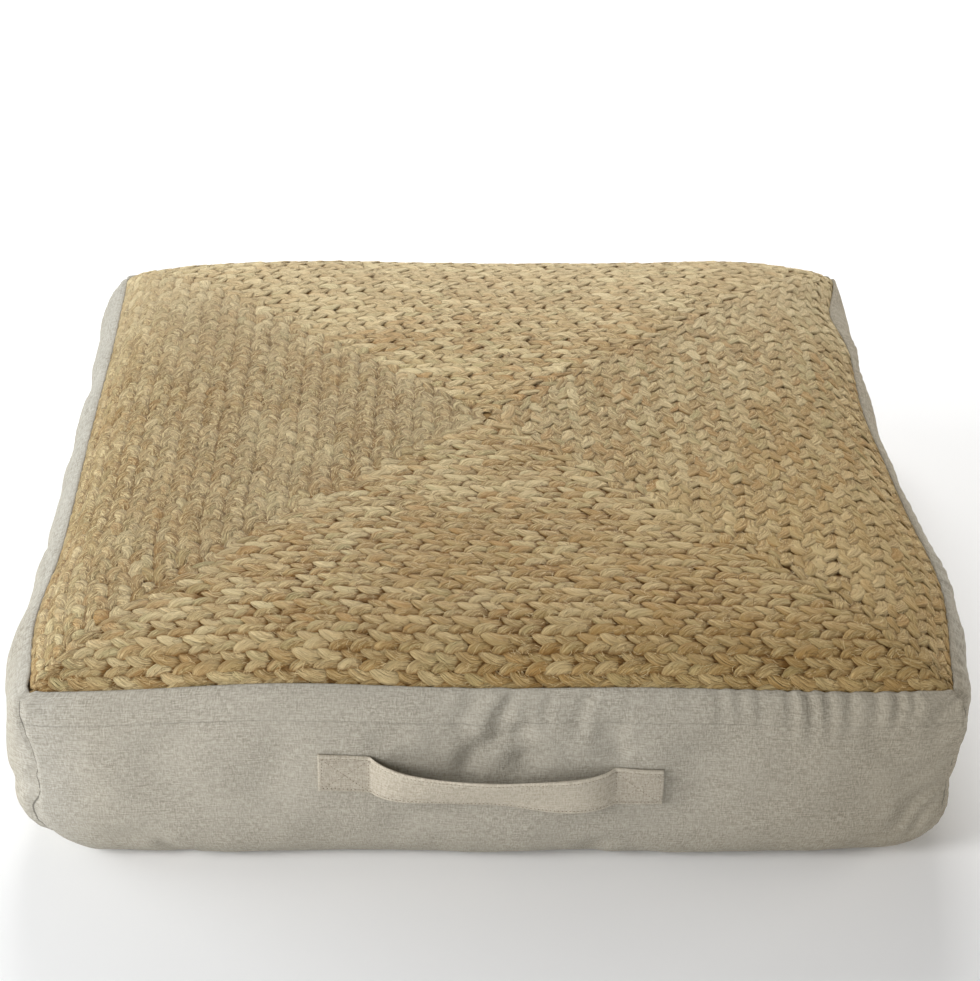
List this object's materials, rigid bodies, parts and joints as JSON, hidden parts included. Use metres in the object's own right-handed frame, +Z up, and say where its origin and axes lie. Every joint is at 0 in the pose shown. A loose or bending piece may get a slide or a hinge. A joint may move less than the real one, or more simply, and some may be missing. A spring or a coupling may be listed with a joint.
{
  "type": "floor cushion",
  "caption": "Square filled floor cushion with a braided jute top worked in a square spiral, plain cloth sides and base, and a sewn strap handle on one side",
  "frame": {"origin": "centre of the flat base that the cushion lies on", "axes": "+Z up out of the braided top; the handle is on the -Y side and runs along X"},
  "size_m": [0.623, 0.6266, 0.1736],
  "materials": {
    "cover_cloth": "natural off-white plain-weave cotton and linen cloth, matt",
    "braided_jute": "undyed three-strand braided jute, matt and slightly hairy",
    "handle_cloth": "folded natural cotton and linen cloth, topstitched, matt"
  },
  "bodies": {
    "root": {"cushion_body": "cover_cloth", "braided_top": "braided_jute", "handle_strap": "handle_cloth"}
  },
  "joints": []
}
